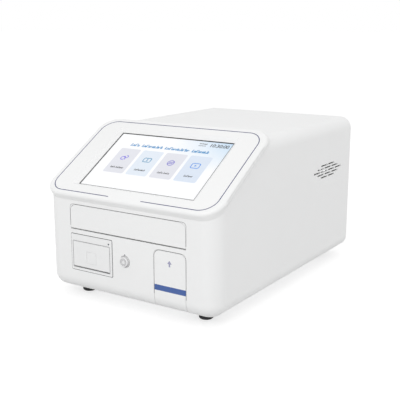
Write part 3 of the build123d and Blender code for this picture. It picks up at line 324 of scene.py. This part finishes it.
SLOT_MATERIALS = {
    "housing_white": lambda n: moulded(n, WHITE, 0.42),
    "hood_white": lambda n: moulded(n, (0.872, 0.875, 0.875), 0.40),
    "line_blue": lambda n: moulded(n, (0.006, 0.012, 0.12), 0.35, 900.0),
    "zinc_steel": lambda n: metal(n, (0.62, 0.63, 0.64), 0.38, (0.08, 1.0, 1.0)),
    "foot_rubber": lambda n: rubber(n, (0.022, 0.022, 0.024)),
    "screw_steel": lambda n: metal(n, (0.5, 0.51, 0.53), 0.32, (1.0, 1.0, 1.0)),
    "gasket_black": lambda n: rubber(n, (0.03, 0.03, 0.034), 1200.0),
    "screen_glass": lambda n: clear_glass(n, (1.0, 1.0, 1.0, 1.0)),
    "display_face": lit_display,
    "carrier_grey": lambda n: moulded(n, (0.16, 0.165, 0.18), 0.5, 1100.0, 0.00006, 0.04),
    "spring_steel": lambda n: metal(n, (0.7, 0.7, 0.72), 0.22, (0.1, 1.0, 1.0)),
    "runner_plastic": lambda n: moulded(n, (0.72, 0.72, 0.69), 0.35, 800.0),
    "rail_steel": lambda n: metal(n, (0.56, 0.57, 0.59), 0.24, (1.0, 0.04, 1.0)),
    "belt_rubber": lambda n: ribbed_rubber(n, (0.03, 0.03, 0.03)),
    "pulley_aluminium": lambda n: metal(n, (0.72, 0.73, 0.75), 0.3, (1.0, 0.3, 0.3)),
    "motor_black": lambda n: painted(n, (0.035, 0.035, 0.04), 0.42),
    "deck_aluminium": lambda n: metal(n, (0.66, 0.67, 0.69), 0.42, (0.06, 1.0, 1.0)),
    "optics_black": lambda n: painted(n, (0.022, 0.022, 0.026), 0.62),
    "lens_glass": lambda n: clear_glass(n, (0.86, 0.94, 0.98, 1.0)),
    "printer_white": lambda n: moulded(n, (0.84, 0.843, 0.845), 0.38, 1800.0),
    "printer_dark": lambda n: moulded(n, (0.06, 0.06, 0.068), 0.45, 1200.0, 0.00005, 0.06),
    "paper_white": lambda n: paper(n, (0.84, 0.84, 0.81)),
    "button_white": lambda n: moulded(n, (0.80, 0.80, 0.805), 0.3, 2200.0, 0.00002),
    "light_dark": lambda n: moulded(n, (0.05, 0.055, 0.08), 0.15, 2500.0, 0.00001, 0.05),
    "cover_white": lambda n: moulded(n, WHITE, 0.42),
    "band_blue": lambda n: moulded(n, (0.045, 0.105, 0.33), 0.36, 1400.0, 0.00002, 0.03),
    "board_green": lambda n: circuit_board(n, (0.02, 0.13, 0.06)),
    "fan_black": lambda n: moulded(n, (0.028, 0.028, 0.031), 0.45, 900.0, 0.00006, 0.1),
    "guard_steel": lambda n: metal(n, (0.72, 0.73, 0.75), 0.18, (1.0, 1.0, 1.0), 0.03),
    "socket_black": lambda n: moulded(n, (0.022, 0.022, 0.025), 0.4, 1300.0, 0.00004, 0.1),
}


def dress_nodes():
    """Every CAD node gets the procedural material of its record slot."""
    made = {slot: build(slot + "_looks") for slot, build in SLOT_MATERIALS.items()}
    for node in nodes.values():
        for place in node.material_slots:
            slot = place.material.name.split(".")[0]
            place.material = made[slot]


# Flat shapes for the picture and the printed marks: lists of (across, up) points in mm

def arc(x, y, radius, start, end, steps):
    angles = [math.radians(start + (end - start) * i / steps) for i in range(steps + 1)]
    return [(x + radius * math.cos(a), y + radius * math.sin(a)) for a in angles]


def rounded(x0, y0, x1, y1, radius):
    """A rectangle's outline with round corners, anticlockwise."""
    corners = ((x1, y0, -90), (x1, y1, 0), (x0, y1, 90), (x0, y0, 180))
    points = []
    for x, y, start in corners:
        inner_x = x - radius if x == x1 else x + radius
        inner_y = y - radius if y == y1 else y + radius
        points += arc(inner_x, inner_y, radius, start, start + 90, 4)
    return points


def path_strip(points, width, closed):
    """The left and right edges of a line of even width through the points."""
    count = len(points)
    left, right = [], []
    for i, (x, y) in enumerate(points):
        before = points[i - 1] if closed or i else points[i]
        after = points[(i + 1) % count] if closed or i < count - 1 else points[i]
        along = Vector((after[0] - before[0], after[1] - before[1])).normalized()
        side = Vector((-along.y, along.x)) * width / 2
        left.append((x + side.x, y + side.y))
        right.append((x - side.x, y - side.y))
    return left, right


def strip_faces(points, width, closed=False):
    """Quads along a line, which share their corners."""
    left, right = path_strip(points, width, closed)
    count = len(points)
    last = count if closed else count - 1
    return [
        [left[i], right[i], right[(i + 1) % count], left[(i + 1) % count]] for i in range(last)
    ]


def flat_piece(name, faces, surface, material, body="root", thickness=INK_THICKNESS):
    """A thin solid from flat faces; surface() takes (across, up, lift) in mm to its place."""
    mesh = bpy.data.meshes.new(name)
    work = bmesh.new()
    corners = {}
    for face in faces:
        loop = []
        for x, y in face:
            key = (round(x, 4), round(y, 4))
            if key not in corners:
                corners[key] = work.verts.new((x, y, 0.0))
            loop.append(corners[key])
        work.faces.new(loop)
    grown = bmesh.ops.extrude_face_region(work, geom=work.faces[:])
    for part in grown["geom"]:
        if isinstance(part, bmesh.types.BMVert):
            part.co.z = thickness
    bmesh.ops.recalc_face_normals(work, faces=work.faces[:])
    for vertex in work.verts:
        vertex.co = surface(*vertex.co)
    bmesh.ops.recalc_face_normals(work, faces=work.faces[:])
    work.to_mesh(mesh)
    work.free()
    piece = bpy.data.objects.new(name, mesh)
    bpy.context.scene.collection.objects.link(piece)
    mesh.materials.append(material)
    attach(piece, body)
    return piece


def slope_surface():
    """Takes a point on the lit picture to its place, from the display's own box."""
    low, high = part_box("display_module")
    cos, sin = math.cos(SLOPE), math.sin(SLOPE)
    deep, tall = high.y - low.y, high.z - low.z
    length = (cos * deep - sin * tall) / (cos * cos - sin * sin)
    thick = (cos * tall - sin * deep) / (cos * cos - sin * sin)
    start = Vector((0.0, low.y, low.z + thick * cos))
    along = Vector((0.0, cos, sin))
    out = Vector((0.0, -sin, cos))
    middle = start + along * length / 2

    def surface(x, v, lift):
        across = Vector((x * MM, 0.0, 0.0))
        return middle + across + along * v * MM + out * (INK_LIFT + lift) * MM

    return surface


def front_surface(node):
    """Takes (x, z, lift) in mm to the front face of a node."""
    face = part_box(node)[0].y

    def surface(x, z, lift):
        return Vector((x * MM, face - lift * MM, z * MM))

    return surface


# The picture on the screen: nothing in it is lettering

def word_faces(left, base, width, size, slant=0.22):
    """A row of slanted strokes and short bars that stands for a word."""
    pitch = size * 0.62
    count = max(2, round(width / pitch))
    pitch = width / count
    stroke = size * 0.27
    faces = []
    for i in range(count):
        tall = size if (i * 5) % 7 in (0, 3) else size * 0.7
        x = left + i * pitch
        faces.append(leaning(x, base, stroke, tall, slant))
        bar = base + tall * (0.0, 0.42, 0.78)[i % 3]
        start = x + stroke * 1.25
        faces.append(leaning(start + (bar - base) * slant, bar, pitch * 0.42, stroke, slant))
        if i % 2:
            faces.append(leaning(x + pitch * 0.55, base, stroke, size * 0.6, slant))
    return faces


def leaning(x, y, width, height, slant):
    lean = height * slant
    return [(x, y), (x + width, y), (x + width + lean, y + height), (x + lean, y + height)]


def title_faces():
    faces = []
    left = TITLE_LEFT
    gap = (TITLE_SPAN - sum(TITLE_WORDS)) / (len(TITLE_WORDS) - 1)
    for width in TITLE_WORDS:
        faces += word_faces(left, TITLE_HEIGHT - TITLE_SIZE / 2, width, TITLE_SIZE)
        left += width + gap
    return faces


def round_line(x, y, radius, width=ICON_LINE, start=0, end=360):
    closed = end - start == 360
    points = arc(x, y, radius, start, end, 24)
    return strip_faces(points[:-1] if closed else points, width, closed)


def line(*points, width=ICON_LINE):
    return strip_faces(list(points), width)


def icon_link(x, y):
    """Two open rings joined by a bar."""
    faces = round_line(x - 2.6, y - 1.4, 3.6, start=20, end=330)
    faces += round_line(x + 3.4, y + 2.6, 2.6, start=-150, end=120)
    return faces + line((x - 0.8, y + 3.6), (x + 3.2, y - 4.6))


def icon_plate(x, y):
    """A plate's outline with a line down its middle."""
    faces = strip_faces(rounded(x - 7.0, y - 4.6, x + 7.0, y + 4.6, 2.0), ICON_LINE, True)
    return faces + line((x, y - 3.2), (x, y + 3.2))


def icon_wheel(x, y):
    """A ring with slanted bars in it."""
    faces = round_line(x, y, 5.8)
    for shift in (-2.8, 0.0, 2.8):
        faces += line((x + shift - 1.2, y - 3.0), (x + shift + 1.2, y + 3.0))
    return faces


def icon_box(x, y):
    """A box with a rounded outline and a small triangle in it."""
    faces = strip_faces(rounded(x - 7.4, y - 5.4, x + 7.4, y + 5.4, 2.6), 1.5, True)
    return faces + [[(x - 1.6, y - 2.2), (x + 2.4, y), (x - 1.6, y + 2.2)]]


def build_picture():
    """Tiles, icons, captions, title and clock under the screen's glass."""
    surface = slope_surface()
    tints = ((0.78, 0.79, 0.85), (0.78, 0.85, 0.94), (0.78, 0.79, 0.85), (0.72, 0.80, 0.92))
    hues = ((0.14, 0.09, 0.75), (0.03, 0.28, 0.50), (0.18, 0.16, 0.62), (0.02, 0.25, 0.80))
    icons = (icon_link, icon_plate, icon_wheel, icon_box)
    captions = ((9.0, 14.0), (20.4,), (10.0, 10.5), (15.3,))
    dark = screen_ink("caption_ink", (0.02, 0.021, 0.028))

    def raised(height):
        return lambda x, v, lift: surface(x, v, lift + height)

    for i, left in enumerate(TILE_LEFTS):
        middle = left + TILE_WIDTH / 2
        tile = rounded(left, TILE_LOW, left + TILE_WIDTH, TILE_HIGH, TILE_CORNER)
        ink = screen_ink(f"tile_ink_{i + 1}", tints[i])
        flat_piece(f"screen_tile_{i + 1}", [tile], surface, ink)
        hue = screen_ink(f"icon_ink_{i + 1}", hues[i])
        shape = icons[i](middle, ICON_HEIGHT)
        flat_piece(f"screen_icon_{i + 1}", shape, raised(INK_RAISE), hue)
        words = captions[i]
        start = middle - (sum(words) + WORD_GAP * (len(words) - 1)) / 2
        faces = []
        for width in words:
            faces += word_faces(start, CAPTION_HEIGHT - CAPTION_SIZE / 2, width, CAPTION_SIZE)
            start += width + WORD_GAP
        flat_piece(f"screen_caption_{i + 1}", faces, raised(INK_RAISE), dark)
    blue = screen_ink("title_ink", (0.0, 0.24, 0.56))
    flat_piece("screen_title", title_faces(), surface, blue)
    build_clock(surface, dark)


def build_clock(surface, ink):
    """Plain clock digits with two short lines beside them."""
    curve = bpy.data.curves.new("screen_clock_text", "FONT")
    curve.body = "10:30:00"
    curve.size = CLOCK_SIZE * 1.25 * MM
    curve.extrude = INK_THICKNESS * MM
    curve.offset = CLOCK_WEIGHT * MM
    text = bpy.data.objects.new("screen_clock_text", curve)
    bpy.context.scene.collection.objects.link(text)
    bpy.context.view_layer.update()
    mesh = bpy.data.meshes.new_from_object(text)
    bpy.data.objects.remove(text)
    clock = bpy.data.objects.new("screen_clock", mesh)
    bpy.context.scene.collection.objects.link(clock)
    mesh.materials.clear()
    mesh.materials.append(ink)
    mesh.transform(Matrix.Rotation(SLOPE, 4, "X"))
    mesh.transform(Matrix.Translation(surface(CLOCK_LEFT, CLOCK_HEIGHT, 0.0)))
    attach(clock, "root")
    faces = word_faces(CLOCK_LEFT - 20.0, CLOCK_HEIGHT + 4.4, 14.0, 2.8)
    faces += word_faces(CLOCK_LEFT - 20.0, CLOCK_HEIGHT, 14.0, 2.0)
    flat_piece("screen_status", faces, surface, ink)


# Printed marks, and lines of painted shade in the gaps

def build_cover_marks():
    """The plain arrow that points up the cover."""
    surface = front_surface("lamp_cover")
    ink, tree, shader = new_material("mark_ink")
    vary_colour(tree, shader, noise(tree, 300.0), (0.33, 0.33, 0.47), 0.05)
    vary_roughness(tree, shader, noise(tree, 300.0), 0.4, 0.5)
    shaft_left, shaft_right = ARROW_X - ARROW_SHAFT_HALF, ARROW_X + ARROW_SHAFT_HALF
    neck = ARROW_BASE + ARROW_HEAD
    shaft = [
        (shaft_left, ARROW_BASE),
        (shaft_right, ARROW_BASE),
        (shaft_right, neck),
        (shaft_left, neck),
    ]
    head = [
        (ARROW_X - ARROW_HEAD_HALF, neck),
        (shaft_left, neck),
        (shaft_right, neck),
        (ARROW_X + ARROW_HEAD_HALF, neck),
        (ARROW_X, ARROW_TIP),
    ]
    faces = [shaft, head]
    flat_piece("cover_arrow", faces, surface, ink, "lamp_cover", ARROW_THICKNESS)


def gap_outline(node, grow, corner):
    """A node's front outline in mm, grown all round, anticlockwise from its lower right."""
    low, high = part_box(node)
    return rounded(
        low.x / MM - grow, low.z / MM - grow, high.x / MM + grow, high.z / MM + grow, corner
    )


def hung_outline(node, grow, corner, foot):
    """The sides and top of the same outline, open below a height."""
    points = gap_outline(node, grow, corner)[5:15]
    return [(points[0][0], foot)] + points + [(points[-1][0], foot)]


def circle_on(name, node, ring, material, body):
    """A thin line round the middle of a button part's front: ring is its radius and width."""
    low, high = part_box(node)
    middle = (low + high) / 2 / MM
    faces = round_line(middle.x, middle.z, *ring)
    flat_piece(name, faces, front_surface(node), material, body)


def painted_shade_material(name, colour, smooth, rough):
    """Matt painted shade with a faint unevenness."""
    material, tree, shader = new_material(name)
    vary_colour(tree, shader, noise(tree, 200.0), colour, 0.1)
    vary_roughness(tree, shader, noise(tree, 200.0), smooth, rough)
    return material


def build_gap_lines():
    """Painted shade: dark lines along the narrow gaps round the front's pieces."""
    shadow = painted_shade_material("gap_shadow", (0.05, 0.05, 0.055), 0.7, 0.9)
    grey = painted_shade_material("rim_shadow", (0.22, 0.22, 0.23), 0.6, 0.8)
    housing = front_surface("housing_shell")
    bezel = front_surface("printer_bezel")
    grow = SEAM + GAP_LINE / 2
    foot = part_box("plate_flap")[0].z / MM + FLAP_LINE_FOOT
    flap = hung_outline("plate_flap", grow, FLAP_CORNER, foot)
    flat_piece("flap_gap_line", strip_faces(flap, GAP_LINE), housing, shadow)
    cover = hung_outline("lamp_cover", grow, COVER_CORNER, COVER_LINE_FOOT)
    flat_piece("cover_gap_line", strip_faces(cover, GAP_LINE), housing, shadow)
    outline = gap_outline("printer_bezel", BEZEL_LINE / 2, BEZEL_CORNER)
    around = strip_faces(outline, BEZEL_LINE, True)
    flat_piece("bezel_gap_line", around, housing, shadow)
    around = strip_faces(gap_outline("printer_lid", grow, LID_CORNER), LID_LINE, True)
    flat_piece("lid_gap_line", around, bezel, grey)
    low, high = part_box("button_ring")
    outside = (high.x - low.x) / 2 / MM + GAP_LINE / 2
    faces = round_line((low.x + high.x) / 2 / MM, (low.z + high.z) / 2 / MM, outside, GAP_LINE)
    flat_piece("button_gap_line", faces, housing, shadow)
    # Painted shade: grey rings at the edges of the button's ring, cap and dish.
    circle_on("button_ring_line", "button_ring", RING_LINE, grey, "root")
    circle_on("button_cap_line", "button_cap", CAP_LINE, grey, "power_button")
    circle_on("button_dish_line", "button_cap", DISH_LINE, grey, "power_button")


def build_panel_edge():
    """The black border round the touch panel, under its glass: the panel's border print, and
    also painted shade of the window's recess edge.
    """
    ink = screen_ink("panel_edge_ink", (0.02, 0.02, 0.022), 0.0)
    low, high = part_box("screen_gasket")
    half = (high.x - low.x) / 2 / MM - GASKET_RIM
    tall = math.hypot(high.y - low.y, high.z - low.z) / MM / 2 - GASKET_RIM
    outline = rounded(-half, -tall, half, tall, PANEL_CORNER)
    surface = slope_surface()

    def raised(x, v, lift):
        return surface(x, v, lift + PANEL_EDGE_RAISE)

    faces = strip_faces(outline, PANEL_EDGE, True)
    flat_piece("screen_edge", faces, raised, ink)


# Floor, light and camera

def background_switch(tree):
    """1 for rays from the camera, a reflection or a view through glass, else 0."""
    path = tree.nodes.new("ShaderNodeLightPath")
    first = tree.nodes.new("ShaderNodeMath")
    first.operation = "MAXIMUM"
    second = tree.nodes.new("ShaderNodeMath")
    second.operation = "MAXIMUM"
    tree.links.new(path.outputs["Is Camera Ray"], first.inputs[0])
    tree.links.new(path.outputs["Is Glossy Ray"], first.inputs[1])
    tree.links.new(first.outputs["Value"], second.inputs[0])
    tree.links.new(path.outputs["Is Transmission Ray"], second.inputs[1])
    return second.outputs["Value"]


def build_world():
    world = bpy.data.worlds.new("studio")
    bpy.context.scene.world = world
    world.use_nodes = True
    tree = world.node_tree
    background = tree.nodes["Background"]
    background.inputs["Color"].default_value = (1.0, 1.0, 1.0, 1.0)
    level = tree.nodes.new("ShaderNodeMapRange")
    level.inputs["To Min"].default_value = AMBIENT
    level.inputs["To Max"].default_value = 1.0
    tree.links.new(background_switch(tree), level.inputs["Value"])
    tree.links.new(level.outputs["Result"], background.inputs["Strength"])


def build_floor():
    """A pale floor that reads white to the camera and keeps the reader's shadow."""
    mesh = bpy.data.meshes.new("floor")
    work = bmesh.new()
    bmesh.ops.create_grid(work, x_segments=8, y_segments=8, size=FLOOR_HALF)
    work.to_mesh(mesh)
    work.free()
    floor = bpy.data.objects.new("floor", mesh)
    bpy.context.scene.collection.objects.link(floor)
    material = bpy.data.materials.new("floor_white")
    material.use_nodes = True
    tree = material.node_tree
    tree.nodes.remove(tree.nodes["Principled BSDF"])
    pale = tree.nodes.new("ShaderNodeBsdfDiffuse")
    pale.inputs["Color"].default_value = (0.65, 0.65, 0.65, 1.0)
    seen = tree.nodes.new("ShaderNodeBsdfDiffuse")
    seen.inputs["Color"].default_value = (0.45, 0.45, 0.45, 1.0)
    glow = tree.nodes.new("ShaderNodeEmission")
    glow.inputs["Strength"].default_value = 0.66
    lifted = tree.nodes.new("ShaderNodeAddShader")
    mix = tree.nodes.new("ShaderNodeMixShader")
    tree.links.new(seen.outputs["BSDF"], lifted.inputs[0])
    tree.links.new(glow.outputs["Emission"], lifted.inputs[1])
    tree.links.new(background_switch(tree), mix.inputs["Fac"])
    tree.links.new(pale.outputs["BSDF"], mix.inputs[1])
    tree.links.new(lifted.outputs["Shader"], mix.inputs[2])
    tree.links.new(mix.outputs["Shader"], tree.nodes["Material Output"].inputs["Surface"])
    mesh.materials.append(material)


def build_lamp(name, direction, level, size):
    """A square soft lamp that gives its level at the reader's middle."""
    middle = cad_box_middle()
    towards = Vector(direction).normalized()
    data = bpy.data.lights.new(name, "AREA")
    data.shape = "SQUARE"
    data.size = size
    data.energy = level * (math.pi * LAMP_DISTANCE) ** 2
    lamp = bpy.data.objects.new(name, data)
    bpy.context.scene.collection.objects.link(lamp)
    lamp.location = middle + towards * LAMP_DISTANCE
    lamp.rotation_euler = towards.to_track_quat("Z", "Y").to_euler()


def cad_box_middle():
    low, high = cad_box
    return (Vector(low) + Vector(high)) / 2


def build_light():
    build_lamp("key_lamp", KEY_FROM, KEY_LEVEL, LAMP_SIZE)
    build_lamp("side_lamp", SIDE_FROM, SIDE_LEVEL, LAMP_SIZE)
    build_lamp("top_lamp", TOP_FROM, TOP_LEVEL, TOP_LAMP_SIZE)


def build_camera():
    data = bpy.data.cameras.new("camera")
    data.lens = CAMERA_LENS
    data.sensor_width = 36.0
    camera = bpy.data.objects.new("camera", data)
    bpy.context.scene.collection.objects.link(camera)
    camera.location = CAMERA_PLACE
    camera.rotation_euler = Euler((math.radians(90.0) - CAMERA_DOWN, 0.0, CAMERA_TURN))
    bpy.context.scene.camera = camera


dress_nodes()
build_picture()
build_cover_marks()
build_gap_lines()
build_panel_edge()
build_world()
build_floor()
build_light()
build_camera()
bpy.context.scene.view_settings.view_transform = "Standard"
